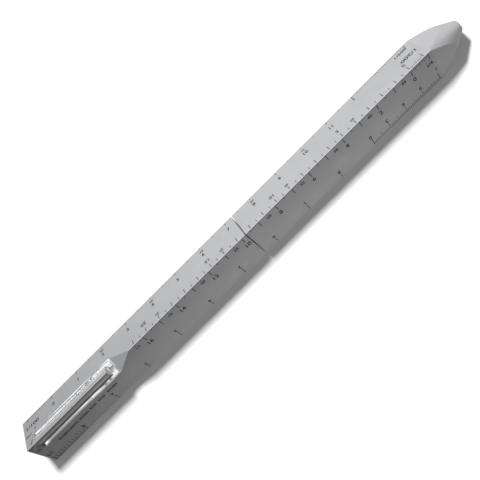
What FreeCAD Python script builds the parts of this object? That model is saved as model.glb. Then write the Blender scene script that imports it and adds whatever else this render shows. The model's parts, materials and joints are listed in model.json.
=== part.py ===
import FreeCAD, Part
import math
import os

# A twist-action ballpoint pen whose triangular metal body is also a scale rule.
# +X runs from the flat rear end to the nose, +Z is up, and the pen lies on one flat face.
# The origin is at the middle of the pen's length, on the face it rests on.

Vector = FreeCAD.Vector

# ---- body, millimetres --------------------------------------------------------------------
LENGTH = 166.2              # rear end to nose end
SIDE = 14.5                 # side of the triangular section, corners taken sharp
EDGE_ROUND = 0.15           # rounding along the three long edges
END_BREAK = 0.12            # edge break where the two halves meet
PARTING = 84.9              # rear end to the plane where the halves meet
PARTING_GAP = 0.30          # open gap between the halves, filled by a washer
NOSE_HALF_ANGLE = 28.8      # degrees, half angle of the turned cone
NOSE_END_RADIUS = 1.60      # cone radius at the nose end, before its rounding
NOSE_END_ROUND = 0.40

# ---- bores ---------------------------------------------------------------------------------
REAR_BORE_RADIUS = 3.40
REAR_BORE_START = 45.0      # the rear half is solid behind this, under the clip
INSERT_BORE_RADIUS = 3.30
INSERT_LENGTH = 12.0
FRONT_BORE_RADIUS = 2.60
SPRING_SEAT = 160.4         # rear end to the shoulder that the return spring rests on
EXIT_RADIUS = 1.25          # hole in the nose

# ---- clip ----------------------------------------------------------------------------------
CLIP_THICKNESS = 0.50
CLIP_TOP_Z = 8.55           # height of the legs' upper side where they leave the body
LEG_INNER = 1.55            # half the width of the window between the legs
CLIP_END = 33.15            # rear end of the pen to the front edge of the clip's plate
WINDOW_END = 31.45          # rear end of the pen to the front end of the window
TAIL_X = 4.3                # rear end of the pen to the middle of the legs' turned-down tails
TAIL_WIDTH = 1.7
TAIL_CLEARANCE = 0.20       # between a tail and its pocket, along the pen
LEG_CLEARANCE = 0.08        # between a leg and its pocket, across the pen
CLIP_PIN_Z = 6.60
CLIP_PIN_RADIUS = 0.45
EYE_RADIUS = 0.85
BEND_ROUND = 0.50           # rounding of the bend where each leg turns down into the body
CLIP_EDGE_ROUND = 0.08
# rise of the legs over their straight line: distance from the rear end, rise
CLIP_ARCH = (
    (TAIL_X - TAIL_WIDTH / 2, -0.14),
    (TAIL_X, 0.0),
    (6.5, 0.06),
    (12.0, 0.16),
    (20.5, 0.34),
    (27.2, 0.0),
    (30.6, 0.10),
    (CLIP_END, 0.40),
)

# ---- ridge beside the clip -----------------------------------------------------------------
REBATE_FLOOR_Z = 7.95
FIN_HALF_TOP = 0.75         # half width of the ridge where the rebate leaves the face
FIN_HALF_BASE = 1.45        # half width of the ridge at the rebate's floor
REBATE_START = TAIL_X - EYE_RADIUS - TAIL_CLEARANCE
RUN_OUT_HEIGHT = 1.30       # height of the sloping part of the rebate's rear end
RUN_OUT_LENGTH = 0.90
FIN_END = 31.15             # rear end to the front end of the ridge between the legs
RAMP_APEX = 39.7            # rear end to the place where the thumb ramp reaches the ridge
RAMP_ANGLE = 34.0           # degrees

# ---- twist mechanism -----------------------------------------------------------------------
STROKE = 5.5                # travel of the refill
TWIST = 120.0               # degrees of twist for the full stroke, so the faces meet again
RUNNING = 0.05              # radial clearance of turning and sliding fits
GUIDE_OUTER = 2.80
GUIDE_INNER = 2.30
GUIDE_START = 47.2
CAM_START = 49.5
CAM_LENGTH = 15.5
PIN_RADIUS = 0.50
PIN_X = 53.4                # rear end to the cross pin with the refill drawn in
CAM_SLOT_WIDTH = 1.50       # along the axis
PLUNGER_START = 51.6
PLUNGER_END = 64.2
RING_X = 48.1               # rear end to the middle of the retaining ring
RING_THICKNESS = 0.5
RING_GROOVE_RADIUS = 2.55
RING_GAP = 1.2
BORE_CLEARANCE = 0.12       # radial, between the rear bore and what turns in it
WASHER_THICKNESS = 0.6
BUSH_LENGTH = 6.0
FRICTION_RING_X = 72.0
FRICTION_CORD_RADIUS = 0.29

# ---- refill --------------------------------------------------------------------------------
REFILL_BALL_X = 164.8       # rear end to the front of the writing ball, refill drawn in
REFILL_LENGTH = 106.8
REFILL_RADIUS = 1.50
REFILL_WALL = 0.20
EAR_X = 140.0               # rear end to the crimped ears that carry the return spring
EAR_RADIUS = 2.20
EAR_LENGTH = 1.2
POINT_RADIUS = 1.15
POINT_LENGTH = 13.0
POINT_CONE_LENGTH = 3.4
POINT_COLLAR = 0.2          # how far the point's collar stands out
STEM_LENGTH = 2.0           # part of the point that sits in the refill tube
BALL_RADIUS = 0.40
BALL_CLEARANCE = 0.02
INK_RADIUS = 0.35           # feed hole behind the ball
PLUG_LENGTH = 5.0
VENT_RADIUS = 0.30          # air hole through the plug
GREASE_LENGTH = 3.0
INK_REAR_X = 88.0           # rear end to the back of the ink

SPRING_MEAN_RADIUS = 2.15
SPRING_WIRE_RADIUS = 0.20
SPRING_TURNS = 9

# ---- modelling ------------------------------------------------------------------------------
TINY = 1e-6                 # two places closer than this are one place
SMALL = 1e-3
END_PLAY = 0.02             # gap between stacked pieces
FLUSH = 0.01                # how far the ground ends of a pin stay under the faces

HEIGHT = SIDE * math.sqrt(3) / 2
AXIS_Z = SIDE / (2 * math.sqrt(3))
X_AXIS = Vector(1, 0, 0)
Y_AXIS = Vector(0, 1, 0)


def at(distance):
    """The X coordinate of a place given as its distance from the pen's rear end."""
    return distance - LENGTH / 2


def face_half_width(z):
    """Half the width of the sharp triangular section at height z."""
    return (HEIGHT - z) / math.sqrt(3)


def rod(start, end, radius):
    """A round bar on the pen's axis, between two distances from the rear end."""
    return Part.makeCylinder(radius, end - start, Vector(at(start), 0, AXIS_Z), X_AXIS)


def tube(start, end, outer, inner):
    """A round tube on the pen's axis."""
    return rod(start, end, outer).cut(rod(start - 1, end + 1, inner))


def cross_rod(distance, z, radius, half_length):
    """A round bar that lies across the pen, along Y."""
    return Part.makeCylinder(radius, 2 * half_length, Vector(at(distance), -half_length, z), Y_AXIS)


def turned(points):
    """A solid of revolution about the pen's axis from (distance, radius) corner points."""
    corners = [Vector(at(x), 0, AXIS_Z + r) for x, r in points]
    face = Part.Face(Part.makePolygon(corners + corners[:1]))
    return face.revolve(Vector(0, 0, AXIS_Z), X_AXIS, 360)


def extruded(points, along):
    """A prism from corner points, pushed along a vector."""
    return Part.Face(Part.makePolygon(points + points[:1])).extrude(along)


def edges_where(shape, test):
    """The edges of a shape whose bounding box passes a test."""
    return [edge for edge in shape.Edges if test(edge.BoundBox)]


def triangular_bar(start, end):
    """The triangular bar with its three long edges rounded."""
    x = at(start)
    corners = [Vector(x, -SIDE / 2, 0), Vector(x, SIDE / 2, 0), Vector(x, 0, HEIGHT)]
    bar = extruded(corners, Vector(end - start, 0, 0))
    long_edges = [edge for edge in bar.Edges if abs(edge.tangentAt(edge.FirstParameter).x) > 0.99]
    return bar.makeFillet(EDGE_ROUND, long_edges)


def break_end(bar, distance):
    """Breaks the edges around the flat end of a bar at the given distance."""
    x = at(distance)
    rim = edges_where(bar, lambda box: abs(box.XMin - x) < TINY and abs(box.XMax - x) < TINY)
    return bar.makeChamfer(END_BREAK, rim)


def rebate(side):
    """The open rebate for one leg of the clip. Its wall leans towards the ridge and its rear end slopes."""
    slope = (FIN_HALF_BASE - FIN_HALF_TOP) / (HEIGHT - math.sqrt(3) * FIN_HALF_TOP - REBATE_FLOOR_Z)
    top_z = HEIGHT + 1
    top_y = FIN_HALF_BASE - slope * (top_z - REBATE_FLOOR_Z)
    section = ((top_y, top_z), (FIN_HALF_BASE, REBATE_FLOOR_Z), (SIDE, REBATE_FLOOR_Z), (SIDE, top_z))
    corners = [Vector(at(0), side * y, z) for y, z in section]
    end = FIN_END + 1
    trough = extruded(corners, Vector(end, 0, 0))
    profile = (
        (REBATE_START, REBATE_FLOOR_Z),
        (REBATE_START - RUN_OUT_LENGTH, REBATE_FLOOR_Z + RUN_OUT_HEIGHT),
        (REBATE_START - RUN_OUT_LENGTH, top_z),
        (end, top_z),
        (end, REBATE_FLOOR_Z),
    )
    corners = [Vector(at(x), -SIDE, z) for x, z in profile]
    return trough.common(extruded(corners, Vector(0, 2 * SIDE, 0)))


def tail_pocket(side):
    """The blind pocket that takes the turned-down tail of one leg."""
    width = 2 * (EYE_RADIUS + TAIL_CLEARANCE)
    inner = LEG_INNER - LEG_CLEARANCE
    outer = face_half_width(CLIP_TOP_Z) + LEG_CLEARANCE
    low_y = inner if side > 0 else -outer
    height = REBATE_FLOOR_Z + 1 - CLIP_PIN_Z
    corner = Vector(at(TAIL_X) - width / 2, low_y, CLIP_PIN_Z)
    block = Part.makeBox(width, outer - inner, height, corner)
    round_end = Part.makeCylinder(width / 2, outer - inner, Vector(at(TAIL_X), low_y, CLIP_PIN_Z), Y_AXIS)
    return block.fuse(round_end)


def thumb_notch():
    """The notch in front of the ridge's end, with the ramp that lets a thumbnail lift the clip."""
    run = 1 / math.tan(math.radians(RAMP_ANGLE))
    over = 2.0
    ridge_z = HEIGHT - EDGE_ROUND
    ramp_base = RAMP_APEX - (ridge_z - REBATE_FLOOR_Z) * run
    ramp_top = RAMP_APEX + over * run
    top_z = ridge_z + over
    profile = (
        (FIN_END, REBATE_FLOOR_Z),
        (ramp_base, REBATE_FLOOR_Z),
        (ramp_top, top_z),
        (FIN_END, top_z),
    )
    corners = [Vector(at(x), -SIDE, z) for x, z in profile]
    return extruded(corners, Vector(0, 2 * SIDE, 0))


def rear_barrel():
    end = PARTING - PARTING_GAP / 2
    bar = break_end(triangular_bar(0, end), end)
    bar = break_end(bar, 0)
    for side in (1, -1):
        bar = bar.cut(rebate(side))
        bar = bar.cut(tail_pocket(side))
    bar = bar.cut(thumb_notch())
    bar = bar.cut(cross_rod(TAIL_X, CLIP_PIN_Z, CLIP_PIN_RADIUS, SIDE))
    return bar.cut(rod(REAR_BORE_START, PARTING + 1, REAR_BORE_RADIUS))


def nose_envelope():
    """A turned solid that leaves the bar alone and cuts its front end to a cone."""
    slope = math.tan(math.radians(NOSE_HALF_ANGLE))
    wide = SIDE
    wide_x = LENGTH - (wide - NOSE_END_RADIUS) / slope
    round_depth = NOSE_END_ROUND * slope
    profile = (
        (PARTING - 1, 0),
        (PARTING - 1, wide),
        (wide_x, wide),
        (LENGTH - NOSE_END_ROUND, NOSE_END_RADIUS + round_depth),
        (LENGTH - NOSE_END_ROUND / 3, NOSE_END_RADIUS - NOSE_END_ROUND / 8),
        (LENGTH, NOSE_END_RADIUS - NOSE_END_ROUND / 2),
        (LENGTH, 0),
    )
    return turned(profile)


def front_barrel():
    start = PARTING + PARTING_GAP / 2
    bar = break_end(triangular_bar(start, LENGTH + 1), start)
    bar = bar.common(nose_envelope())
    bar = bar.cut(rod(start - 1, start + INSERT_LENGTH, INSERT_BORE_RADIUS))
    bar = bar.cut(rod(start, SPRING_SEAT, FRONT_BORE_RADIUS))
    return bar.cut(rod(SPRING_SEAT - 1, LENGTH + 2, EXIT_RADIUS))


def clip_sheet():
    """The arched sheet that the clip is cut from, seen from the side and pushed across the pen."""
    top = [Vector(at(x), -SIDE / 2, CLIP_TOP_Z + rise) for x, rise in CLIP_ARCH]
    low = [point - Vector(0, 0, CLIP_THICKNESS) for point in top]
    upper = Part.BSplineCurve()
    upper.interpolate(top)
    lower = Part.BSplineCurve()
    lower.interpolate(low)
    front = Part.makeLine(top[-1], low[-1])
    back = Part.makeLine(low[0], top[0])
    outline = Part.Wire([upper.toShape(), front, lower.toShape(), back])
    return Part.Face(outline).extrude(Vector(0, SIDE, 0))


def clip_outline(reach):
    """A bar with the slope of the rule's own faces, cut back to the clip's width."""
    low_z = REBATE_FLOOR_Z - reach
    top_z = CLIP_TOP_Z + 1.0
    x = at(TAIL_X - 2)
    section = (
        (-face_half_width(low_z), low_z),
        (face_half_width(low_z), low_z),
        (face_half_width(top_z), top_z),
        (-face_half_width(top_z), top_z),
    )
    corners = [Vector(x, y, z) for y, z in section]
    return extruded(corners, Vector(CLIP_END - TAIL_X + 4, 0, 0))


def clip_tail(side):
    """The turned-down end of a leg, with an eye for the clip's cross pin."""
    leg_width = face_half_width(CLIP_TOP_Z) - LEG_INNER
    low_y = LEG_INNER if side > 0 else -LEG_INNER - leg_width
    height = CLIP_TOP_Z - CLIP_THICKNESS / 2 - CLIP_PIN_Z
    corner = Vector(at(TAIL_X) - TAIL_WIDTH / 2, low_y, CLIP_PIN_Z)
    strip = Part.makeBox(TAIL_WIDTH, leg_width, height, corner)
    eye = Part.makeCylinder(EYE_RADIUS, leg_width, Vector(at(TAIL_X), low_y, CLIP_PIN_Z), Y_AXIS)
    return strip.fuse(eye)


def clip():
    window = Part.makeBox(WINDOW_END + 5, 2 * LEG_INNER, HEIGHT, Vector(at(-5), -LEG_INNER, 0))
    blade = clip_sheet().common(clip_outline(1.0)).cut(window)
    for side in (1, -1):
        blade = blade.fuse(clip_tail(side))
    blade = blade.cut(cross_rod(TAIL_X, CLIP_PIN_Z, CLIP_PIN_RADIUS + RUNNING, SIDE))
    return soften_clip(blade.removeSplitter())


def soften_clip(blade):
    """Rounds the bends over the tails and the upper edges of the legs and the plate."""
    back_x = at(TAIL_X) - TAIL_WIDTH / 2
    back_z = CLIP_TOP_Z + CLIP_ARCH[0][1]

    def bend(box):
        return box.XMax < back_x + SMALL and box.YLength > SMALL and box.ZMin > back_z - SMALL

    def upper(box):
        on_top = box.ZMin > back_z - CLIP_THICKNESS / 10
        return on_top and (box.XLength > CLIP_END / 2 or box.XMin > at(WINDOW_END) - SMALL)

    blade = blade.makeFillet(BEND_ROUND, edges_where(blade, bend))
    return blade.makeFillet(CLIP_EDGE_ROUND, edges_where(blade, upper))


def clip_pin():
    """The cross pin, with its ends ground flush with the two faces."""
    pin = cross_rod(TAIL_X, CLIP_PIN_Z, CLIP_PIN_RADIUS, SIDE)
    x = at(0)
    half = face_half_width(0) - FLUSH
    corners = [Vector(x, -half, 0), Vector(x, half, 0), Vector(x, 0, half * math.sqrt(3))]
    return pin.common(extruded(corners, Vector(REAR_BORE_START, 0, 0)))


def parting_washer():
    half = PARTING_GAP / 2 - END_PLAY
    outer = AXIS_Z - EDGE_ROUND - END_BREAK
    return tube(PARTING - half, PARTING + half, outer, GUIDE_OUTER + RUNNING)


def coupling_insert():
    start = PARTING + PARTING_GAP / 2
    return tube(start, start + INSERT_LENGTH, INSERT_BORE_RADIUS, GUIDE_OUTER)


def guide_tube():
    """The tube that is screwed into the front half and keeps the cross pin from turning."""
    end = PARTING + PARTING_GAP / 2 + INSERT_LENGTH
    shell = tube(GUIDE_START, end, GUIDE_OUTER, GUIDE_INNER)
    half = RING_THICKNESS / 2
    groove = tube(RING_X - half, RING_X + half, GUIDE_OUTER + 1, RING_GROOVE_RADIUS)
    slot = cross_slot(PIN_X, PIN_X + STROKE, PIN_RADIUS + RUNNING)
    return shell.cut(groove).cut(slot)


def cross_slot(start, end, half):
    """A round-ended slot straight through the pen along Y, that lets a pin move along the axis."""
    middle = Part.makeBox(end - start, 2 * SIDE, 2 * half, Vector(at(start), -SIDE, AXIS_Z - half))
    slot = middle.fuse(cross_rod(start, AXIS_Z, half, SIDE))
    return slot.fuse(cross_rod(end, AXIS_Z, half, SIDE))


def helical_slot(start_angle):
    """One cam slot: it moves forward by STROKE while it turns back by TWIST degrees."""
    mean = (REAR_BORE_RADIUS + GUIDE_OUTER) / 2
    pitch = STROKE * 360 / TWIST
    spine = Part.makeHelix(pitch, STROKE, mean, 0, True)
    half_depth = 2 * RUNNING + (REAR_BORE_RADIUS - GUIDE_OUTER)
    half_width = CAM_SLOT_WIDTH / 2
    corners = [
        Vector(mean - half_depth, 0, -half_width),
        Vector(mean + half_depth, 0, -half_width),
        Vector(mean + half_depth, 0, half_width),
        Vector(mean - half_depth, 0, half_width),
    ]
    profile = Part.makePolygon(corners + corners[:1])
    slot = Part.Wire(spine).makePipeShell([profile], True, True)
    for angle, height in ((0, 0), (-TWIST, STROKE)):
        direction = Vector(math.cos(math.radians(angle)), math.sin(math.radians(angle)), 0)
        base = direction * (mean - half_depth) + Vector(0, 0, height)
        slot = slot.fuse(Part.makeCylinder(PIN_RADIUS + RUNNING, 2 * half_depth, base, direction))
    slot.rotate(Vector(0, 0, 0), Vector(0, 0, 1), start_angle)
    slot.rotate(Vector(0, 0, 0), Vector(1, 1, 1), 120)
    slot.translate(Vector(at(PIN_X), 0, AXIS_Z))
    return slot


def cam_sleeve():
    """The sleeve pressed into the rear half, whose two helical slots drive the cross pin."""
    sleeve = tube(CAM_START, CAM_START + CAM_LENGTH, REAR_BORE_RADIUS, GUIDE_OUTER + RUNNING)
    for start_angle in (0, 180):
        sleeve = sleeve.cut(helical_slot(start_angle))
    return sleeve


def mouth_bush():
    end = PARTING - PARTING_GAP / 2
    return tube(end - BUSH_LENGTH, end, REAR_BORE_RADIUS, GUIDE_OUTER + RUNNING)


def retaining_ring():
    """A snap ring in the guide tube's groove; its gap faces down."""
    half = RING_THICKNESS / 2 - END_PLAY
    ring = tube(RING_X - half, RING_X + half, REAR_BORE_RADIUS - BORE_CLEARANCE, RING_GROOVE_RADIUS)
    corner = Vector(at(RING_X) - RING_THICKNESS, -RING_GAP / 2, AXIS_Z - SIDE)
    return ring.cut(Part.makeBox(2 * RING_THICKNESS, RING_GAP, SIDE, corner))


def thrust_washer():
    end = CAM_START - END_PLAY
    outer = REAR_BORE_RADIUS - BORE_CLEARANCE
    return tube(end - WASHER_THICKNESS, end, outer, GUIDE_OUTER + RUNNING)


def friction_ring():
    mean = (REAR_BORE_RADIUS + GUIDE_OUTER) / 2
    return Part.makeTorus(mean, FRICTION_CORD_RADIUS, Vector(at(FRICTION_RING_X), 0, AXIS_Z), X_AXIS)


def refill_rear():
    """Distance of the refill's rear end from the pen's rear end."""
    return REFILL_BALL_X - REFILL_LENGTH


def plunger():
    """The slider that carries the cross pin and holds the back of the refill in its cup."""
    body = rod(PLUNGER_START, PLUNGER_END, GUIDE_INNER - RUNNING)
    body = body.cut(rod(refill_rear(), PLUNGER_END + 1, REFILL_RADIUS))
    return body.cut(cross_rod(PIN_X, AXIS_Z, PIN_RADIUS, SIDE))


def cross_pin():
    return cross_rod(PIN_X, AXIS_Z, PIN_RADIUS, REAR_BORE_RADIUS - BORE_CLEARANCE)


def point_start():
    """Distance of the back of the writing point from the pen's rear end."""
    return REFILL_BALL_X - POINT_LENGTH


def refill_tube():
    """The metal tube of the refill, with the crimped ears that the spring pushes on."""
    shell = rod(refill_rear(), point_start() + STEM_LENGTH, REFILL_RADIUS)
    shell = shell.fuse(rod(EAR_X - EAR_LENGTH, EAR_X, EAR_RADIUS))
    over = 1.0
    depth, breadth = EAR_RADIUS, 3 * EAR_RADIUS
    for half_turn in (0, 180):
        corner = Vector(at(EAR_X - EAR_LENGTH) - over, REFILL_RADIUS + RUNNING, AXIS_Z - breadth / 2)
        flat = Part.makeBox(EAR_LENGTH + 2 * over, depth, breadth, corner)
        flat.rotate(Vector(0, 0, AXIS_Z), X_AXIS, half_turn)
        shell = shell.cut(flat)
    return shell.cut(rod(refill_rear() - 1, LENGTH, REFILL_RADIUS - REFILL_WALL))


def refill_plug():
    start = refill_rear()
    plug = rod(start, start + PLUG_LENGTH, REFILL_RADIUS - REFILL_WALL)
    return plug.cut(rod(start - 1, start + PLUG_LENGTH + 1, VENT_RADIUS))


def refill_point():
    """The writing point: a stem in the tube, a cylinder, a cone and the socket of the ball."""
    start = point_start()
    ball_x = REFILL_BALL_X - BALL_RADIUS
    stem = REFILL_RADIUS - REFILL_WALL
    lip_x = ball_x + BALL_RADIUS * 0.35
    shoulder = start + STEM_LENGTH
    profile = (
        (start, 0),
        (start, stem),
        (shoulder, stem),
        (shoulder, POINT_RADIUS + POINT_COLLAR),
        (shoulder + 3 * POINT_COLLAR, POINT_RADIUS),
        (REFILL_BALL_X - POINT_CONE_LENGTH, POINT_RADIUS),
        (lip_x, BALL_RADIUS + 3 * BALL_CLEARANCE),
        (lip_x, 0),
    )
    socket = Part.makeSphere(BALL_RADIUS + BALL_CLEARANCE, Vector(at(ball_x), 0, AXIS_Z))
    feed = rod(start - 1, ball_x, INK_RADIUS)
    return turned(profile).cut(socket).cut(feed)


def writing_ball():
    return Part.makeSphere(BALL_RADIUS, Vector(at(REFILL_BALL_X - BALL_RADIUS), 0, AXIS_Z))


def ink_column():
    bulk = rod(INK_REAR_X, point_start(), REFILL_RADIUS - REFILL_WALL)
    thread = rod(point_start(), REFILL_BALL_X - 2 * BALL_RADIUS - 2 * RUNNING, INK_RADIUS)
    return bulk.fuse(thread)


def grease_follower():
    return rod(INK_REAR_X - GREASE_LENGTH, INK_REAR_X, REFILL_RADIUS - REFILL_WALL)


def return_spring():
    """The compression spring between the refill's ears and the shoulder in the nose."""
    start = EAR_X + SPRING_WIRE_RADIUS + END_PLAY
    length = SPRING_SEAT - EAR_X - 2 * (SPRING_WIRE_RADIUS + END_PLAY)
    spine = Part.makeHelix(length / SPRING_TURNS, length, SPRING_MEAN_RADIUS)
    circle = Part.makeCircle(SPRING_WIRE_RADIUS, Vector(SPRING_MEAN_RADIUS, 0, 0), Y_AXIS)
    wire = Part.Wire(spine).makePipeShell([Part.Wire(circle)], True, True)
    wire.rotate(Vector(0, 0, 0), Vector(1, 1, 1), 120)
    wire.translate(Vector(at(start), 0, AXIS_Z))
    return wire


SUB_PARTS = (
    front_barrel,
    rear_barrel,
    clip,
    clip_pin,
    parting_washer,
    coupling_insert,
    guide_tube,
    cam_sleeve,
    mouth_bush,
    retaining_ring,
    thrust_washer,
    friction_ring,
    plunger,
    cross_pin,
    refill_tube,
    refill_plug,
    refill_point,
    writing_ball,
    ink_column,
    grease_follower,
    return_spring,
)


def main():
    os.makedirs("parts", exist_ok=True)
    for make in SUB_PARTS:
        shape = make()
        shape.exportStep("parts/" + make.__name__ + ".step")
        print(make.__name__, shape.isValid(), shape.ShapeType, len(shape.Solids), round(shape.Volume, 3))


main()
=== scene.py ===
import bmesh
import bpy
import json
import math
from mathutils import Matrix, Vector

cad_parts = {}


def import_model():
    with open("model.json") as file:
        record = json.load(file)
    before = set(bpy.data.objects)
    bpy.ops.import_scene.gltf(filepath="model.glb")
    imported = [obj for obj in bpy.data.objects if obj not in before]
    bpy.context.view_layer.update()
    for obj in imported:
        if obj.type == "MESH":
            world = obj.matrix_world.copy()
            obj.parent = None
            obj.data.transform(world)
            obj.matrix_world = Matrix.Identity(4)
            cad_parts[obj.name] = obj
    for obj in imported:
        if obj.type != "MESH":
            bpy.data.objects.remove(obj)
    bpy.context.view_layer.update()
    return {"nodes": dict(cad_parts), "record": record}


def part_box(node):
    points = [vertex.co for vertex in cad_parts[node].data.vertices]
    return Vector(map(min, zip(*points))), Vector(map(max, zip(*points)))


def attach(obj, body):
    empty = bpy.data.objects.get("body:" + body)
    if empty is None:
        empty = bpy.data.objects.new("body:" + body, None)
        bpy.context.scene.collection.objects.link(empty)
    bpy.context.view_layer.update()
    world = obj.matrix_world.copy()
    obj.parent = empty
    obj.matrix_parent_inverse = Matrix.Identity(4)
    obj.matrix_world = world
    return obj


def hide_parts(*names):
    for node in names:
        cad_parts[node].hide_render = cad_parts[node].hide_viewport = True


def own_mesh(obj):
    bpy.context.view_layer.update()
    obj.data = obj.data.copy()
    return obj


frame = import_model()
MM = 0.001
INCH = 25.4
SIN_60 = math.sqrt(3) / 2

# ---- the pen's own shape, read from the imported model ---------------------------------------
REAR_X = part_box("rear_barrel")[0].x
REAR_END_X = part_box("rear_barrel")[1].x
FRONT_START_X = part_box("front_barrel")[0].x
RIDGE_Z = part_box("front_barrel")[1].z
EDGE_ROUND = 0.15 * MM                     # the long edges' rounding
APEX_Z = RIDGE_Z + EDGE_ROUND              # where the two upper faces would meet if they were sharp
FACE_WIDTH = APEX_Z / SIN_60
PARTING_X = (REAR_END_X + FRONT_START_X) / 2

# ---- places along the pen, in mm from its rear end -------------------------------------------
REBATE_START = 2.35                        # start of the cut that the clip lies in
SEAT_START = 3.2                           # start of the cut's bare metal
TAIL_BEND = 5.0                            # where the clip's legs leave their turned-down tails
LEG_DIP = 27.0                             # lowest place of the clip's legs
FIN_END = 31.0                             # front end of the ridge between the clip's legs
SEAT_END = 33.3                            # foot of the thumb ramp
RAMP_APEX = 39.7                           # where the thumb ramp meets the ridge
PARTING = (PARTING_X - REAR_X) / MM
NOSE_START = 153.6                         # start of the turned nose


def at(distance_mm):
    """The X coordinate of a place given as its distance from the rear end, in millimetres."""
    return REAR_X + distance_mm * MM


# ---- material building blocks ---------------------------------------------------------------
class Shading:
    """A shader tree in the making. Its helpers add nodes and return their outputs."""

    def __init__(self, tree, coordinates):
        self.tree = tree
        self.place = self.add("ShaderNodeTexCoord").outputs[coordinates]

    def add(self, kind, **settings):
        node = self.tree.nodes.new(kind)
        for key, value in settings.items():
            setattr(node, key, value)
        return node

    def feed(self, socket, value):
        """Gives a socket another node's output, or a plain value."""
        if isinstance(value, bpy.types.NodeSocket):
            self.tree.links.new(value, socket)
        else:
            socket.default_value = value

    def math(self, operation, a, b=0.0):
        node = self.add("ShaderNodeMath", operation=operation)
        self.feed(node.inputs[0], a)
        self.feed(node.inputs[1], b)
        return node.outputs[0]

    def product(self, first, *others):
        for other in others:
            first = self.math("MULTIPLY", first, other)
        return first

    def axes(self):
        """The point's X, Y and Z in the pen's frame, or the direction's in the world."""
        node = self.add("ShaderNodeSeparateXYZ")
        self.feed(node.inputs[0], self.place)
        return node.outputs

    def noise(self, size_mm, stretch=(1, 1, 1), detail=3.0, shift=0.0):
        """Soft random patches from 0 to 1, about size_mm across, stretched along the three axes."""
        mapping = self.add("ShaderNodeMapping")
        mapping.inputs["Location"].default_value = (shift, shift * 0.7, shift * 1.3)
        mapping.inputs["Scale"].default_value = [1 / (size_mm * MM * s) for s in stretch]
        self.feed(mapping.inputs["Vector"], self.place)
        texture = self.add("ShaderNodeTexNoise")
        texture.inputs["Scale"].default_value = 1.0
        texture.inputs["Detail"].default_value = detail
        self.feed(texture.inputs["Vector"], mapping.outputs[0])
        return texture.outputs[0]

    def ramp(self, value, low, high):
        """0 below low, 1 above high, straight in between. Low may be the larger one."""
        node = self.add("ShaderNodeMapRange", clamp=True)
        self.feed(node.inputs["Value"], value)
        self.feed(node.inputs["From Min"], low)
        self.feed(node.inputs["From Max"], high)
        return node.outputs[0]

    def band(self, value, start, full, full_end, end):
        """Rises from 0 at start to 1 at full, and falls from full_end back to 0 at end."""
        return self.product(self.ramp(value, start, full), self.ramp(value, end, full_end))

    def rings(self, value, pitch_mm):
        """A wave from 0 to 1 along value, like the grooves that a lathe tool leaves."""
        wave = self.math("SINE", self.product(value, 2 * math.pi / (pitch_mm * MM)))
        return self.ramp(wave, -1.0, 1.0)

    def mix(self, share, a, b):
        node = self.add("ShaderNodeMix", data_type="FLOAT")
        self.feed(node.inputs[0], share)
        self.feed(node.inputs[2], a)
        self.feed(node.inputs[3], b)
        return node.outputs[0]

    def mix_color(self, share, a, b):
        node = self.add("ShaderNodeMix", data_type="RGBA")
        self.feed(node.inputs[0], share)
        self.feed(node.inputs[6], a if isinstance(a, bpy.types.NodeSocket) else (*a, 1))
        self.feed(node.inputs[7], b if isinstance(b, bpy.types.NodeSocket) else (*b, 1))
        return node.outputs[2]


class Finish(Shading):
    """A principled material in the making. Viewers that can't read its nodes show the plain values."""

    def __init__(self, name, color, metallic, roughness):
        self.material = bpy.data.materials.new(name)
        self.material.use_nodes = True
        super().__init__(self.material.node_tree, "Object")
        self.shader = self.tree.nodes["Principled BSDF"]
        self.normal = None
        self.put("Base Color", (*color, 1))
        self.put("Metallic", metallic)
        self.put("Roughness", roughness)

    def put(self, name, value):
        """Sets one of the principled shader's inputs."""
        self.feed(self.shader.inputs[name], value)

    def relief(self, height, depth_mm):
        """Lays a bump of this depth over whatever relief is already there."""
        node = self.add("ShaderNodeBump")
        node.inputs["Strength"].default_value = 1.0
        node.inputs["Distance"].default_value = depth_mm * MM
        self.feed(node.inputs["Height"], height)
        if self.normal:
            self.feed(node.inputs["Normal"], self.normal)
        self.normal = node.outputs[0]
        self.put("Normal", self.normal)

    def scratches(self, length_mm, width, shift):
        """Thin broken lines that run mostly along the pen, 0 to 1."""
        field = self.noise(1.0, (length_mm, 1, 1), 2.0, shift)
        line = self.ramp(self.math("ABSOLUTE", self.math("SUBTRACT", field, 0.5)), width, 0.0)
        broken = self.ramp(self.noise(3.0, (2, 1, 1), 2.0, shift + 5), 0.52, 0.62)
        return self.product(line, broken)

    def edges(self, radius_mm):
        """1 on worn edges, 0 on open faces, uneven along the edge."""
        bevel = self.add("ShaderNodeBevel", samples=4)
        bevel.inputs["Radius"].default_value = radius_mm * MM
        geometry = self.add("ShaderNodeNewGeometry")
        dot = self.add("ShaderNodeVectorMath", operation="DOT_PRODUCT")
        self.feed(dot.inputs[0], bevel.outputs[0])
        self.feed(dot.inputs[1], geometry.outputs["Normal"])
        sharp = self.ramp(dot.outputs["Value"], 0.99, 0.90)
        return self.product(sharp, self.ramp(self.noise(1.2, shift=9.0), 0.35, 0.65))


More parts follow.
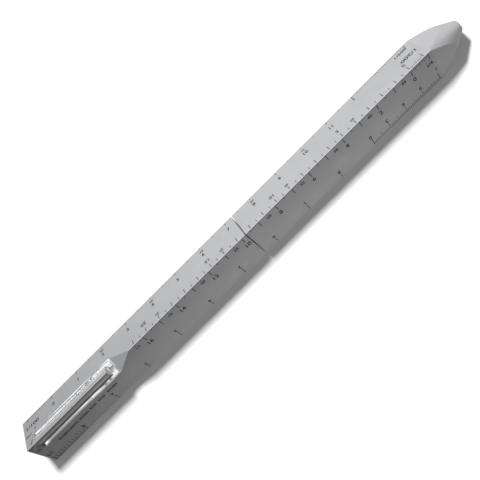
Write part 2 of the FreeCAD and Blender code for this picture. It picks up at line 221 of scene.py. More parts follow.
# ---- the barrel's aluminium ------------------------------------------------------------------
SATIN_REAR_PAINTED_SHADE = ((0.330, 0.333, 0.340), (0.365, 0.367, 0.374))    # clouds between these two tones, painted darker than the front ones as shade where the light falls off toward the rear
SATIN_FRONT = ((0.425, 0.428, 0.436), (0.465, 0.467, 0.475))
SATIN_PAINTED_SHADE_CHANGE = (at(0), at(90))             # painted shade: the darker rear tones turn into the front ones over this length
SCRATCH_TONE = (0.78, 0.78, 0.79)
EDGE_WEAR_AND_LIGHT_TONE = (0.62, 0.62, 0.63)             # worn edges, and painted light on the +Y side of the turned nose
BARE_PAINTED_LIGHT = ((0.72, 0.72, 0.73), (0.95, 0.95, 0.96))            # bare floor of the recess, painted light on the +Y side
BARE_PAINTED_SHADE = (0.55, 0.55, 0.56)           # the same, painted shade on the -Y side
WALL_PAINTED_SHADE = (0.43, 0.43, 0.44)             # upper part of the walls of the ridge between the legs, painted darker as shade
WALL_Z = (8.9 * MM, 9.5 * MM)              # BARE_PAINTED_LIGHT turns into WALL_PAINTED_SHADE between these heights


def clip_seat(f, x, y, z):
    """1 in the recess that the clip lies in, where the anodising is cut away, and 0 elsewhere."""
    spread = f.product(f.math("ABSOLUTE", y), SIN_60)
    behind_face = f.math("SUBTRACT", APEX_Z / 2, f.math("ADD", spread, f.product(z, 0.5)))
    cut = f.ramp(behind_face, 0.03 * MM, 0.08 * MM)
    above_base = f.ramp(z, 0.3 * MM, 0.5 * MM)
    along = f.band(x, at(SEAT_START), at(SEAT_START + 0.4), at(SEAT_END), at(SEAT_END + 0.3))
    return f.product(cut, above_base, along)


def bare_tone(f, mottle, y, z):
    # painted light on the +Y side of the recess, fading to painted shade up the wall; painted shade on the -Y
    # side
    lit = f.mix_color(f.ramp(mottle, 0.35, 0.65), *BARE_PAINTED_LIGHT)
    lit = f.mix_color(f.ramp(z, *WALL_Z), lit, WALL_PAINTED_SHADE)
    return f.mix_color(f.ramp(y, -0.4 * MM, 0.4 * MM), BARE_PAINTED_SHADE, lit)


def satin_tone(f, cloud, turned, x, y):
    # painted shade: the barrel's tone darkens toward the rear, where the light falls off
    rear = f.mix_color(cloud, *SATIN_REAR_PAINTED_SHADE)
    front = f.mix_color(cloud, *SATIN_FRONT)
    satin = f.mix_color(f.ramp(x, *SATIN_PAINTED_SHADE_CHANGE), rear, front)
    satin = f.mix_color(f.product(f.scratches(9.0, 0.006, 2.0), 0.5), satin, SCRATCH_TONE)
    # painted light: the +Y side of the turned nose is made lighter
    nose_painted_light = f.product(turned, f.ramp(y, -1.0 * MM, 1.5 * MM))
    return f.mix_color(f.product(nose_painted_light, 0.22), satin, EDGE_WEAR_AND_LIGHT_TONE)


def anodised_aluminium():
    """Bead-blasted satin anodising, turned smooth on the nose and cut away where the clip lies."""
    f = Finish("anodised_aluminium", (0.6, 0.6, 0.61), 0.85, 0.5)
    x, y, z = f.axes()
    seat = clip_seat(f, x, y, z)
    turned = f.ramp(x, at(NOSE_START), at(NOSE_START + 1.0))
    cloud = f.noise(7.0, (2.5, 1, 1), 4.0, 3.0)
    smudge = f.ramp(f.noise(4.0, (1.6, 1, 1), 3.0, 11.0), 0.5, 0.72)
    mottle = f.noise(0.8, (1.0, 0.7, 0.7), 3.0, 21.0)
    worn = f.edges(0.25)
    tone = f.mix_color(seat, satin_tone(f, cloud, turned, x, y), bare_tone(f, mottle, y, z))
    f.put("Base Color", f.mix_color(f.product(worn, 0.4), tone, EDGE_WEAR_AND_LIGHT_TONE))
    f.put("Metallic", f.mix(seat, 0.45, 0.35))
    rough = f.mix(cloud, 0.52, 0.59)
    rough = f.mix(f.product(smudge, 0.5), rough, 0.40)
    rough = f.mix(turned, rough, 0.44)
    rough = f.mix(seat, rough, 0.42)
    rough = f.mix(worn, rough, 0.62)
    ridge = f.ramp(z, RIDGE_Z - 0.16 * MM, RIDGE_Z - 0.10 * MM)
    f.put("Roughness", f.mix(ridge, rough, f.mix(cloud, 0.70, 0.78)))
    f.relief(f.noise(0.09, detail=2.0), 0.004)
    f.relief(f.product(f.rings(x, 0.35), f.math("ADD", turned, seat)), 0.002)
    f.relief(f.product(mottle, seat), 0.08)
    return f.material


# ---- the clip's steel ------------------------------------------------------------------------
STEEL = ((0.80, 0.80, 0.81), (0.90, 0.90, 0.91))
STEEL_EDGE = (0.93, 0.93, 0.94)
# the legs' darker tone: painted shade on the -Y leg, and a little darkening on the +Y leg
STEEL_DARK_TONE = (0.42, 0.42, 0.43)
LEAN_REAR, LEAN_FRONT = 0.12, 0.085        # slope of the -Y leg towards the ridge, from rear to front
LEAN_CHANGE = (at(5), at(20))              # the one slope turns into the other over this length
LEAN_DIP = 0.11                            # what the dip adds to it
DIP = (at(LEG_DIP - 4.5), at(LEG_DIP), at(LEG_DIP + 0.5), at(LEG_DIP + 3.5))
SHADED_LEG_PAINTED_SHADE = (at(TAIL_BEND), at(TAIL_BEND + 0.8), at(8), at(24))      # painted shade on the -Y leg, from start to end
LIT_LEG_DARKENING = 0.18                                # share of the same darker tone on the +Y leg
LIT_LEG_DARKENING_FADE = (at(30), at(18))                # it thins out over this length, seen from the front
PLATE_START, PLATE_FULL = at(29.5), at(31.5)   # the legs turn into the front plate over this length


def leg_lean(f, x, y):
    """The height that makes the -Y leg lean towards the ridge, most of all where it dips."""
    lean = f.mix(f.ramp(x, *LEAN_CHANGE), LEAN_REAR, LEAN_FRONT)
    lean = f.math("ADD", lean, f.product(f.band(x, *DIP), LEAN_DIP))
    shaded_side = f.ramp(y, 0.0, -0.5 * MM)
    lean = f.product(lean, f.ramp(x, PLATE_FULL, PLATE_START), shaded_side)
    return f.product(lean, f.math("DIVIDE", f.math("ABSOLUTE", y), MM))


def leg_dullness(f, x, y):
    """How dark the legs are made: the -Y one painted in shade in front of its bright bend, the +Y one a
    little all over.
    """
    lit = f.product(f.ramp(x, *LIT_LEG_DARKENING_FADE), LIT_LEG_DARKENING)
    return f.mix(f.ramp(y, -0.5 * MM, 0.5 * MM), f.band(x, *SHADED_LEG_PAINTED_SHADE), lit)


def polished_steel():
    """Polished spring steel with the waviness, dents and hairlines of a pressed and handled part."""
    f = Finish("polished_steel", (0.86, 0.86, 0.87), 1.0, 0.14)
    x, y = f.axes()[:2]
    f.relief(leg_lean(f, x, y), 1.0)
    haze = f.noise(1.1, (3, 1, 1), 4.0, 8.0)
    hair = f.scratches(14.0, 0.01, 6.0)
    tone = f.mix_color(f.edges(0.12), f.mix_color(haze, *STEEL), STEEL_EDGE)
    # painted shade on the -Y leg, a little darker tone on the +Y leg
    f.put("Base Color", f.mix_color(leg_dullness(f, x, y), tone, STEEL_DARK_TONE))
    handled = f.ramp(x, PLATE_START, PLATE_FULL)
    rough = f.mix(handled, f.mix(haze, 0.10, 0.20), f.mix(haze, 0.26, 0.36))
    f.put("Roughness", f.mix(hair, rough, 0.34))
    f.relief(f.noise(2.2, (2.5, 0.6, 1), 2.0, 4.0), 0.02)
    dents = f.product(f.noise(1.3, (1.0, 0.8, 1.0), 1.0, 17.0), f.ramp(y, 0.0, 0.5 * MM))
    f.relief(dents, 0.22)
    f.relief(hair, 0.002)
    return f.material


# ---- the other materials ---------------------------------------------------------------------
def turned_metal(name, dark, light, roughness, pitch_mm, tarnish=0.3):
    """Bar stock turned on a lathe: fine rings around the pen's axis, with a little tarnish."""
    f = Finish(name, light, 1.0, roughness)
    x = f.axes()[0]
    wobble = f.product(f.noise(1.5, detail=2.0), pitch_mm * MM)
    stain = f.ramp(f.noise(2.5, (2, 1, 1), 4.0, 7.0), 0.4, 0.75)
    tone = f.mix_color(f.product(stain, tarnish), light, dark)
    f.put("Base Color", f.mix_color(f.product(f.edges(0.15), 0.6), tone, (0.92, 0.90, 0.86)))
    f.put("Roughness", f.mix(stain, roughness, roughness + 0.14))
    f.relief(f.rings(f.math("ADD", x, wobble), pitch_mm), 0.006)
    f.relief(f.noise(0.12, detail=2.0, shift=3.0), 0.002)
    return f.material


def drawn_metal(name, dark, light, roughness):
    """Ground or drawn metal: hairlines along the piece, clouded by handling and oil."""
    f = Finish(name, light, 1.0, roughness)
    grain = f.noise(0.06, (30, 1, 1), 2.0, 2.0)
    f.put("Base Color", f.mix_color(f.noise(1.3, (2, 1, 1), 3.0, 12.0), dark, light))
    f.put("Roughness", f.mix(grain, roughness, roughness + 0.12))
    f.relief(grain, 0.003)
    return f.material


def acetal(name, dark, light, roughness):
    """Moulded or turned acetal: faint tool rings, a dry bloom and scuffed edges."""
    f = Finish(name, light, 0.0, roughness)
    x = f.axes()[0]
    bloom = f.noise(0.8, detail=4.0, shift=5.0)
    scuff = f.product(f.edges(0.12), 0.35)
    f.put("Base Color", f.mix_color(scuff, f.mix_color(bloom, dark, light), (0.55, 0.55, 0.54)))
    f.put("Roughness", f.mix(bloom, roughness - 0.08, roughness + 0.1))
    f.relief(f.rings(x, 0.18), 0.003)
    f.relief(f.noise(0.05, detail=2.0), 0.002)
    return f.material


def rubber():
    """Nitrile cord: matt, pebbled, with talc in its pores."""
    f = Finish("rubber", (0.02, 0.02, 0.02), 0.0, 0.75)
    talc = f.ramp(f.noise(0.3, detail=3.0, shift=4.0), 0.6, 0.8)
    f.put("Base Color", f.mix_color(talc, (0.018, 0.018, 0.019), (0.09, 0.09, 0.09)))
    f.put("Roughness", f.mix(talc, 0.62, 0.85))
    f.relief(f.noise(0.08, detail=3.0), 0.01)
    return f.material


def paste(name, dark, light, clear):
    """A glossy paste with swirls: the ink, and the grease that follows it."""
    f = Finish(name, dark, 0.0, 0.12)
    swirl = f.noise(0.9, (3, 1, 1), 3.0, 6.0)
    f.put("Base Color", f.mix_color(swirl, dark, light))
    f.put("Roughness", f.mix(swirl, 0.08, 0.22))
    f.put("Transmission Weight", clear)
    f.relief(swirl, 0.02)
    return f.material


def marking_fill():
    """Black enamel rubbed into the engraved graduations, thin and worn in places."""
    f = Finish("marking_fill", (0.03, 0.03, 0.03), 0.0, 0.6)
    wear = f.ramp(f.noise(0.5, detail=4.0, shift=13.0), 0.45, 0.8)
    grit = f.noise(0.05, detail=2.0)
    f.put("Base Color", f.mix_color(wear, (0.012, 0.012, 0.013), (0.085, 0.085, 0.088)))
    f.put("Roughness", f.mix(grit, 0.5, 0.75))
    f.relief(grit, 0.003)
    return f.material


def slot_materials():
    """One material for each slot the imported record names."""
    return {
        "anodised_aluminium": anodised_aluminium(),
        "polished_steel": polished_steel(),
        "steel_pin": drawn_metal("steel_pin", (0.30, 0.30, 0.31), (0.42, 0.42, 0.43), 0.38),
        "spring_steel": drawn_metal("spring_steel", (0.36, 0.36, 0.38), (0.56, 0.56, 0.58), 0.28),
        "black_acetal": acetal("black_acetal", (0.018, 0.018, 0.019), (0.035, 0.035, 0.036), 0.5),
        "white_acetal": acetal("white_acetal", (0.70, 0.70, 0.67), (0.82, 0.82, 0.80), 0.42),
        "brass": turned_metal("brass", (0.46, 0.31, 0.13), (0.78, 0.60, 0.30), 0.24, 0.22, 0.55),
        "rubber": rubber(),
        "nickel_plate": drawn_metal("nickel_plate", (0.58, 0.56, 0.52), (0.74, 0.72, 0.68), 0.16),
        "nickel_silver": turned_metal("nickel_silver", (0.50, 0.46, 0.38), (0.70, 0.68, 0.62), 0.22, 0.14),
        "carbide": drawn_metal("carbide", (0.30, 0.30, 0.32), (0.44, 0.44, 0.46), 0.20),
        "ink": paste("ink", (0.004, 0.004, 0.012), (0.012, 0.012, 0.03), 0.0),
        "grease": paste("grease", (0.60, 0.55, 0.38), (0.74, 0.70, 0.55), 0.45),
    }


def finish_cad_nodes(materials):
    for part in frame["record"]["subparts"]:
        slots = frame["nodes"][part["node"]].data.materials
        slots.clear()
        slots.append(materials[part["material_slot"]])


def return_coils(finish):
    """The return spring as a piece of its own on the front half, in place of the imported one."""
    piece = bpy.data.objects.new("return_coils", frame["nodes"]["return_spring"].data.copy())
    piece.data.materials.clear()
    piece.data.materials.append(finish)
    bpy.context.scene.collection.objects.link(piece)
    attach(piece, "front_half")
    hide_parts("return_spring")
    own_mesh(piece)


# ---- drawing marks on a face -----------------------------------------------------------------
WIDTH = FACE_WIDTH / MM                    # a face from sharp edge to sharp edge, mm
FIRST = 0.45                               # where a mark may start beside a rounded edge, mm
LAST = WIDTH - FIRST                       # and where it ends beside the far edge
PARTING_KEEP = 0.30 * MM                   # marks stay this far from the middle of the parting gap
MARK_DEPTH = 0.030 * MM                    # how far the enamel reaches into its groove
MARK_PROUD = 0.010 * MM                    # and how far it stands above the face
MARK_DRAW = 0.02                           # how far a mark's upper side is drawn in, mm
LONG, MIDDLE, FINE = 0.25, 0.21, 0.19      # widths of the graduation lines, mm
FIGURE_SQUEEZE = 0.86                      # the figures are narrower than the font's
FIGURE_BOLD = 0.028                        # and their strokes are this much fatter, of the font's size


class Face:
    """One flat face. A place on it is x, mm from the rear end, and s, mm across from its first edge."""

    def __init__(self, corner, across, normal):
        self.corner = corner
        self.across = across
        self.normal = normal

    def point(self, x, s, height):
        place = self.corner + self.across * (s * MM) + self.normal * height
        return Vector((at(x), place.y, place.z))


METRIC = Face(Vector((0, 0, APEX_Z)), Vector((0, 0.5, -SIN_60)), Vector((0, SIN_60, 0.5)))
IMPERIAL = Face(Vector((0, 0, APEX_Z)), Vector((0, -0.5, -SIN_60)), Vector((0, -SIN_60, 0.5)))
BASE = Face(Vector((0, -FACE_WIDTH / 2, 0)), Vector((0, 1, 0)), Vector((0, 0, -1)))
mark_meshes = {"front_half": bmesh.new(), "rear_half": bmesh.new()}
figure_shapes = {}


def mesh_at(x):
    """The bmesh of the barrel half that x lies on, or nothing in the parting gap."""
    if abs(at(x) - PARTING_X) < PARTING_KEEP:
        return None
    return mark_meshes["rear_half" if at(x) < PARTING_X else "front_half"]


def bar(face, x0, x1, s0, s1):
    """A filled oblong mark, with its upper side drawn in a little."""
    bm = mesh_at((x0 + x1) / 2)
    if bm is None or s1 <= s0:
        return
    draw = min(MARK_DRAW, (x1 - x0) / 5)
    rings = []
    for inset, height in ((0, -MARK_DEPTH), (draw, MARK_PROUD)):
        corners = ((x0 + inset, s0 + inset), (x1 - inset, s0 + inset),
                   (x1 - inset, s1 - inset), (x0 + inset, s1 - inset))
        rings.append([bm.verts.new(face.point(x, s, height)) for x, s in corners])
    bm.faces.new(rings[0])
    bm.faces.new(reversed(rings[1]))
    for i in range(4):
        j = (i + 1) % 4
        bm.faces.new((rings[0][i], rings[1][i], rings[1][j], rings[0][j]))


def tick(face, x, s0, s1, width=MIDDLE):
    bar(face, x - width / 2, x + width / 2, s0, s1)


def edge_tick(face, x, reach, width=MIDDLE):
    """A line that starts at the face's far edge."""
    tick(face, x, LAST - reach, LAST, width)


def ridge_tick(face, x, reach, width=MIDDLE):
    """A line that starts at the ridge. There is none beside the clip and on the thumb ramp."""
    if not REBATE_START - 0.1 < x < RAMP_APEX + 0.2:
        tick(face, x, FIRST, FIRST + reach, width)


def line_reach(i, lengths):
    """How long line i is. lengths gives this for every nth line, and the longest that fits counts."""
    return max(size for nth, size in lengths if i % nth == 0)


def divided(draw, face, start, length, steps, lengths):
    """A finely divided unit. Only its longest lines, the first of lengths, are wide."""
    for i in range(steps + 1):
        reach = line_reach(i, lengths)
        width = LONG if reach == lengths[0][1] else FINE
        draw(face, start + length * i / steps, reach, width)


def figure_shape(text):
    """A closed solid of the text one figure high, standing on v = 0, from Blender's built-in font."""
    if text not in figure_shapes:
        curve = bpy.data.curves.new("figure", "FONT")
        curve.body = text
        curve.extrude = 0.5
        curve.offset = FIGURE_BOLD
        curve.resolution_u = 3
        curve.align_x = "CENTER"
        holder = bpy.data.objects.new("figure", curve)
        bpy.context.scene.collection.objects.link(holder)
        depsgraph = bpy.context.evaluated_depsgraph_get()
        mesh = bpy.data.meshes.new_from_object(holder.evaluated_get(depsgraph))
        bm = bmesh.new()
        bm.from_mesh(mesh)
        bmesh.ops.remove_doubles(bm, verts=bm.verts, dist=1e-5)
        height = max(v.co.y for v in bm.verts)
        points = [(v.co.x / height, v.co.y / height, v.co.z) for v in bm.verts]
        bm.verts.index_update()
        faces = [[v.index for v in f.verts] for f in bm.faces]
        bm.free()
        bpy.data.objects.remove(holder)
        bpy.data.curves.remove(curve)
        bpy.data.meshes.remove(mesh)
        figure_shapes[text] = (points, faces)
    return figure_shapes[text]


def figure(face, text, x, s, height, up=-1, stretch=1.0):
    """Text centred at x and s. Its top points to the face's first edge, or to its second with up = 1."""
    bm = mesh_at(x)
    points, faces = figure_shape(str(text))
    rise = face.across * up
    run = rise.cross(face.normal)
    middle = face.point(x, s, 0)
    verts = []
    for u, v, w in points:
        flat = run * (u * FIGURE_SQUEEZE * stretch) + rise * (v - 0.5)
        level = MARK_PROUD if w > 0 else -MARK_DEPTH
        verts.append(bm.verts.new(middle + flat * (height * MM) + face.normal * level))
    for corners in faces:
        bm.faces.new([verts[i] for i in corners])


# ---- the graduations -------------------------------------------------------------------------
# Lengths and places are in mm. Metric scales are named by their ratio, 1:100 and so on, and imperial
# ones by the inches that stand for a foot.
FOOT = INCH / 8                            # a foot at 1/8 inch, half of one at 1/4 inch
QUARTER_ZERO = 146.75                      # this scale runs towards the rear end
EIGHTH_ZERO = 3.875                        # this one towards the nose
HALF_ZERO = 13.4                           # towards the nose, with the 1 inch scale's feet between its own
ONE_ZERO = 127.7                           # the 1 inch scale's divided foot runs towards the nose
HALF_LINE, ONE_LINE = 12.6, 11.1           # the s at which these two scales' feet start
METRE_100, METRE_200 = 10, 5               # a metre at 1:100 and at 1:200
METRE_400, METRE_500 = 2.5, 2              # and at 1:400 and at 1:500
METRIC_START = 2.1                         # 1:100, 1:400 and the base's centimetres run from here to the nose
METRIC_END = 152.1                         # 1:200 and 1:500 run from here to the rear end
SIX_INCHES = 0.7                           # the base's inches start at the nose, and six end here
BASE_FIGURES = (1.6, 152.2)                # figures on the base move in from the ends as far as this

# rows of figures: the s of their middle, and their height
QUARTER_ROW = (4.6, 1.8)
EIGHTH_ROW = (2.1, 1.3)
HALF_ROW = (11.4, 1.55)
ONE_ROW = (10.0, 1.55)
DIVIDED_FOOT_ROW = (9.9, 1.55)
ROW_200 = (4.9, 1.6)
ROW_400 = (3.5, 1.15)
ROW_100 = (9.6, 1.6)
ROW_500 = (11.75, 1.1)
CENTIMETRE_ROW = (4.0, 1.6)
INCH_ROW = (10.4, 1.6)

# divided units: every nth line and its length, the longest first
QUARTER_LINES = ((12, 2.55), (3, 1.4), (1, 0.75))
EIGHTH_LINES = ((6, 2.0), (1, 0.75))
HALF_LINES = ((24, 2.95), (6, 2.9), (2, 2.3), (1, 0.9))
ONE_LINES = ((48, 3.5), (12, 2.95), (6, 2.3), (2, 1.6), (1, 1.15))
LINES_200 = ((10, 2.55), (5, 1.5), (1, 0.8))
LINES_100 = ((20, 1.5), (10, 1.1), (2, 0.75), (1, 0.45))
LINES_500 = ((40, 1.9), (10, 1.1), (2, 0.75), (1, 0.45))
CENTIMETRE_LINES = ((10, 2.3), (5, 1.7), (1, 1.1))
INCH_LINES = ((16, 2.6), (8, 2.0), (4, 1.6), (2, 1.3), (1, 0.9))

# the scales' names: face, text, x, s, height, up, stretch
LABELS = (
    (IMPERIAL, "1/4", 152.3, 4.6, 1.5, -1, 1.0),
    (IMPERIAL, "1/8", 1.3, 4.0, 1.15, -1, 1.0),
    (IMPERIAL, "1/2", 1.6, 9.5, 1.45, 1, 1.0),
    (IMPERIAL, "1", 153.3, 8.6, 1.4, 1, 1.0),
    (METRIC, "1/200", 150.4, 6.9, 1.6, -1, 1.35),
    (METRIC, "1/400", 1.75, 5.75, 0.85, -1, 1.1),
    (METRIC, "1/100", 3.5, 9.6, 1.55, 1, 1.25),
    (METRIC, "1/500", 149.7, 11.7, 1.25, 1, 1.35),
)
RIDGE_LINE = (0.28, 0.40)                  # the line under the ridge, from s to s
RIDGE_LINE_ENDS = (0.4, 153.4)
RIDGE_LINE_CLEAR = 0.4                     # it stops this far from the middle of the parting gap


def ridge_line():
    """The line under the ridge on the -Y face, broken at the parting gap and at the thumb ramp."""
    rear, front = RIDGE_LINE_ENDS
    for start, end in ((rear, PARTING - RIDGE_LINE_CLEAR), (PARTING + RIDGE_LINE_CLEAR, front)):
        for x0, x1 in ((start, min(end, FIN_END)), (max(start, RAMP_APEX + 0.3), end)):
            if x1 > x0:
                bar(IMPERIAL, x0, x1, *RIDGE_LINE)


def imperial_ridge_scales():
    """Feet at 1/4 and 1/8 inch along the ridge."""
    for k in range(46):
        if k % 2:
            ridge_tick(IMPERIAL, EIGHTH_ZERO + k * FOOT, 2.55, LONG)
        else:
            ridge_tick(IMPERIAL, EIGHTH_ZERO + k * FOOT, 0.7)
    divided(ridge_tick, IMPERIAL, QUARTER_ZERO, 2 * FOOT, 12, QUARTER_LINES)
    divided(ridge_tick, IMPERIAL, EIGHTH_ZERO - FOOT, FOOT, 6, EIGHTH_LINES)
    for n in range(0, 17, 2):
        figure(IMPERIAL, n, QUARTER_ZERO - n * 2 * FOOT, *QUARTER_ROW)
    for n in range(12, 45, 4):
        figure(IMPERIAL, n, EIGHTH_ZERO + n * FOOT, *EIGHTH_ROW)


def imperial_edge_scales():
    """Feet at 1/2 and 1 inch along the lower edge."""
    for i in range(10):
        x = HALF_ZERO + i * INCH / 2
        if i % 2:
            tick(IMPERIAL, x, ONE_LINE, LAST, LONG)
            figure(IMPERIAL, (9 - i) // 2, x, *ONE_ROW, up=1)
        else:
            tick(IMPERIAL, x, HALF_LINE, LAST, LONG)
            figure(IMPERIAL, i, x, *HALF_ROW, up=1)
    divided(edge_tick, IMPERIAL, ONE_ZERO, INCH, 48, ONE_LINES)
    divided(edge_tick, IMPERIAL, HALF_ZERO - INCH / 2, INCH / 2, 24, HALF_LINES)
    for i in (3, 6, 9):
        figure(IMPERIAL, i, ONE_ZERO + i * INCH / 12, *DIVIDED_FOOT_ROW, up=1)


def bar_strip():
    """A plain bar scale beside the clip, in five groups of twentieth-inch blocks set in two rows."""
    groups = ((6.7, 6), (14.8, 3), (19.0, 2), (22.4, 2), (26.0, 3))    # start and number of blocks
    top, middle, bottom = 6.95, 7.5, 8.05
    step = INCH / 20
    slit = 0.05
    for start, steps in groups:
        for i in range(steps):
            x0 = start + i * step
            half = x0 + step / 2
            tall, short = (x0, half), (half, x0 + step)
            if i % 2:
                tall, short = short, tall
            bar(IMPERIAL, tall[0] + slit, tall[1] - slit, top, bottom)
            bar(IMPERIAL, short[0] + slit, short[1] - slit, top, middle - slit)
            bar(IMPERIAL, short[0] + slit, short[1] - slit, middle + slit * 2, bottom)


def metric_ridge_scales():
    """Ratios 1:200 and 1:400 along the ridge."""
    for k in range(59):
        if k % 2:
            ridge_tick(METRIC, METRIC_START + k * METRE_400, 1.5)
        else:
            ridge_tick(METRIC, METRIC_START + k * METRE_400, 2.3, LONG)
    divided(ridge_tick, METRIC, METRIC_END - METRE_200, METRE_200, 10, LINES_200)
    for n in range(0, 25, 5):
        figure(METRIC, n, METRIC_END - (n + 1) * METRE_200, *ROW_200)
    for n in range(20, 60, 10):
        figure(METRIC, n, METRIC_START + n * METRE_400, *ROW_400)


def metric_edge_scales():
    """Ratios 1:100 and 1:500 along the lower edge."""
    for k in range(27):
        under_figure = k > 5 and (k + 2) % 4 == 0
        edge_tick(METRIC, METRIC_START + k * METRE_100 / 2, 0.75 if k % 2 or under_figure else 1.5)
    divided(edge_tick, METRIC, METRIC_START, METRE_100, 20, LINES_100)
    divided(edge_tick, METRIC, METRIC_END - 10 * METRE_500, 10 * METRE_500, 40, LINES_500)
    for n in range(12):
        figure(METRIC, n, METRIC_START + (n + 1) * METRE_100, *ROW_100, up=1)
    for n in range(0, 60, 10):
        figure(METRIC, n, METRIC_END - (n + 10) * METRE_500, *ROW_500, up=1)


def base_scales():
    """Full size: centimetres along one edge, inches along the other."""
    for k in range(151):
        tick(BASE, METRIC_START + k, FIRST, FIRST + line_reach(k, CENTIMETRE_LINES), FINE)
    for n in range(16):
        figure(BASE, n, METRIC_START + 10 * n, *CENTIMETRE_ROW)
    for k in range(97):
        edge_tick(BASE, SIX_INCHES + k * INCH / 16, line_reach(k, INCH_LINES), FINE)
    first, last = BASE_FIGURES
    for k in range(7):
        figure(BASE, 6 - k, min(max(SIX_INCHES + k * INCH, first), last), *INCH_ROW, up=1)


def scale_labels():
    for face, text, x, s, height, up, stretch in LABELS:
        figure(face, text, x, s, height, up, stretch)


def scale_marks():
    """All the graduations, as one piece on each half of the barrel."""
    ridge_line()
    imperial_ridge_scales()
    imperial_edge_scales()
    bar_strip()
    metric_ridge_scales()
    metric_edge_scales()
    base_scales()
    scale_labels()
    fill = marking_fill()
    for body, bm in mark_meshes.items():
        bmesh.ops.recalc_face_normals(bm, faces=bm.faces)
        name = body.replace("half", "scale_marks")
        mesh = bpy.data.meshes.new(name)
        bm.to_mesh(mesh)
        bm.free()
        mesh.materials.append(fill)
        piece = bpy.data.objects.new(name, mesh)
        bpy.context.scene.collection.objects.link(piece)
        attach(piece, body)


# ---- stage -----------------------------------------------------------------------------------
FLOOR_DROP = 0.02 * MM                     # gap between the floor and the pen
FLOOR_WHITE = (0.92, 0.92, 0.92)           # the floor as the camera sees it
FLOOR_REAR, FLOOR_FRONT = 0.16, 0.31       # the floor as the metal sees it, near each end: painted grey as shade, darker toward the rear
FLOOR_SHADE_CHANGE = (at(-8), at(75))            # painted shade: the one tone turns into the other over this length
BOUNCE_NEAR = 0.68                         # painted glow on the floor beside the pen on the -Y side, seen only by the metal, standing in for a bounce card
BOUNCE_NOSE = 0.38                         # the same beside the nose
BOUNCE_LIT = 0.22                          # the same on the side of the key light
BOUNCE_CHANGE = (at(135), at(158))         # the glow dims towards the nose over this length
BOUNCE_FADE = (at(-30), at(45))            # both glows fade in over this length, from behind the pen
BOUNCE_EDGE = (-0.050, -0.012)             # the -Y glow's far and near edges, as Y
BOUNCE_SIDES = (-0.004, 0.004)             # one side's glow gives way to the other's under the pen
HORIZON = 0.75                             # what the camera sees added to the floor far from the pen
HORIZON_REACH = (0.14, 0.8)                # it grows over this distance from the pen, m
WORLD = 0.235                              # soft light from all round
BACKDROP = 0.95                            # what the camera sees behind the floor
SOFTBOX_ACROSS = (-0.30, -0.15, 0.45, 0.60)    # overhead softbox in polished parts, by direction Y
SOFTBOX_ALONG = (-0.90, -0.80, -0.20, -0.10)   # the same by direction X
SOFTBOX_HOT = (-0.34, -0.27, -0.20, -0.15)     # its brighter patch
SOFTBOX_FAR = (-0.38, -0.45)                   # it is as bright beyond this direction X
SOFTBOX_LOW = (0.25, 0.45)                     # it fades out low down, by direction Z
SOFTBOX_PLAIN = 0.55                           # its strength elsewhere, of 1 in the bright parts
SIDE_CARD = 0.75                           # tall card off the nose, toward the key light
SIDE_CARD_WAY = (0.8, 0.6)                 # the direction it stands in, X and Y
SIDE_CARD_EDGE = (0.45, 0.75)              # how near to it a direction comes for none and all of its light
SIDE_CARD_FOOT = (0.05, 0.15)              # the same by direction Z
KEY_PLACE = Vector((0.04, 0.61, 0.745))
KEY_SIZE = 0.12
KEY_POWER = 12.2
CAMERA_PLACE = Vector((17.55, -15.12, 286.49)) * MM
CAMERA_AIM = Vector((-0.69, 0.29, 6.0)) * MM
CAMERA_UP = Vector((0.7039, 0.7103, 0))    # the pen runs from lower left to upper right
CAMERA_LENS, CAMERA_SENSOR = 76.40, 36.0


def bounce(f, x, y):
    """Painted glow on the floor beside the pen, in place of the light that bounce cards would throw back."""
    near = f.mix(f.ramp(x, *BOUNCE_CHANGE), BOUNCE_NEAR, BOUNCE_NOSE)
    shaded_side = f.product(f.ramp(y, *BOUNCE_EDGE), near)
    both = f.mix(f.ramp(y, *BOUNCE_SIDES), shaded_side, BOUNCE_LIT)
    return f.product(both, f.ramp(x, *BOUNCE_FADE))


def floor():
    """A pale floor. Only the camera sees it white: the metal sees a floor painted grey as shade, and a
    painted glow that stands in for bounce cards.
    """
    bpy.ops.mesh.primitive_plane_add(size=4.0, location=(0, 0, -FLOOR_DROP))
    plane = bpy.context.object
    plane.name = "floor"
    f = Finish("floor_white", FLOOR_WHITE, 0.0, 0.8)
    x, y = f.axes()[:2]
    seen = f.add("ShaderNodeLightPath").outputs["Is Camera Ray"]
    unseen = f.math("SUBTRACT", 1.0, seen)
    # painted shade: the floor that the metal sees is grey, darker toward the rear
    tone = f.mix(f.ramp(x, *FLOOR_SHADE_CHANGE), FLOOR_REAR, FLOOR_FRONT)
    grey = f.add("ShaderNodeCombineColor")
    for channel in grey.inputs:
        f.feed(channel, tone)
    f.put("Base Color", f.mix_color(seen, grey.outputs[0], FLOOR_WHITE))
    f.put("Specular IOR Level", 0.0)
    away = f.add("ShaderNodeVectorMath", operation="LENGTH")
    f.feed(away.inputs[0], f.place)
    horizon = f.product(f.ramp(away.outputs["Value"], *HORIZON_REACH), HORIZON, seen)
    f.put("Emission Color", (1, 1, 1, 1))
    # painted light: the floor glows for the metal only, in place of bounce cards
    f.put("Emission Strength", f.math("ADD", f.product(bounce(f, x, y), unseen), horizon))
    plane.data.materials.append(f.material)


def softbox(f, x, y, z):
    """An overhead softbox, brightest in one patch and at its far end."""
    bright = f.math("MAXIMUM", f.band(x, *SOFTBOX_HOT), f.ramp(x, *SOFTBOX_FAR))
    strength = f.math("ADD", SOFTBOX_PLAIN, f.product(bright, 1 - SOFTBOX_PLAIN))
    shape = f.product(f.band(y, *SOFTBOX_ACROSS), f.band(x, *SOFTBOX_ALONG))
    return f.product(shape, strength, f.ramp(z, *SOFTBOX_LOW))


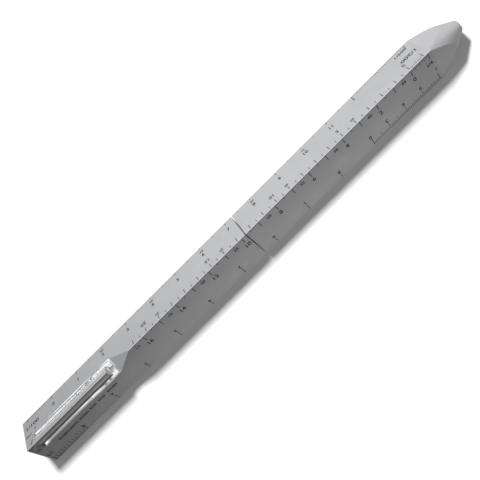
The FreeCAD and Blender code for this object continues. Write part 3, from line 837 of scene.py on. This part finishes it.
def side_card(f, x, y, z):
    toward = f.math("ADD", f.product(x, SIDE_CARD_WAY[0]), f.product(y, SIDE_CARD_WAY[1]))
    return f.product(f.ramp(toward, *SIDE_CARD_EDGE), f.ramp(z, *SIDE_CARD_FOOT), SIDE_CARD)


def world():
    """Even soft light, with a softbox and a card that only shiny surfaces pick up."""
    studio = bpy.data.worlds.new("studio")
    studio.use_nodes = True
    studio.cycles.sampling_method = "NONE"  # so that the cards reach the metal only
    bpy.context.scene.world = studio
    f = Shading(studio.node_tree, "Generated")
    x, y, z = f.axes()
    ray = f.add("ShaderNodeLightPath").outputs
    cards = f.math("ADD", softbox(f, x, y, z), side_card(f, x, y, z))
    plain = f.mix(ray["Is Camera Ray"], WORLD, BACKDROP)
    background = studio.node_tree.nodes["Background"]
    f.feed(background.inputs["Strength"], f.math("ADD", f.product(cards, ray["Is Glossy Ray"]), plain))
    f.feed(background.inputs["Color"], (1, 1, 1, 1))


def key_light():
    data = bpy.data.lights.new("key", "AREA")
    data.size = KEY_SIZE
    data.energy = KEY_POWER
    lamp = bpy.data.objects.new("key", data)
    lamp.location = KEY_PLACE
    lamp.rotation_euler = (-KEY_PLACE).to_track_quat("-Z", "Y").to_euler()
    bpy.context.scene.collection.objects.link(lamp)


def camera():
    """A camera nearly overhead, turned so that the pen lies across the picture."""
    forward = (CAMERA_AIM - CAMERA_PLACE).normalized()
    right = forward.cross(CAMERA_UP).normalized()
    up = right.cross(forward)
    data = bpy.data.cameras.new("camera")
    data.lens = CAMERA_LENS
    data.sensor_width = CAMERA_SENSOR
    data.clip_start = 0.01
    cam = bpy.data.objects.new("camera", data)
    turn = Matrix((right, up, -forward)).transposed().to_4x4()
    cam.matrix_world = Matrix.Translation(CAMERA_PLACE) @ turn
    bpy.context.scene.collection.objects.link(cam)
    bpy.context.scene.camera = cam


bpy.context.scene.view_settings.view_transform = "Standard"
materials = slot_materials()
finish_cad_nodes(materials)
return_coils(materials["spring_steel"])
scale_marks()
floor()
world()
key_light()
camera()
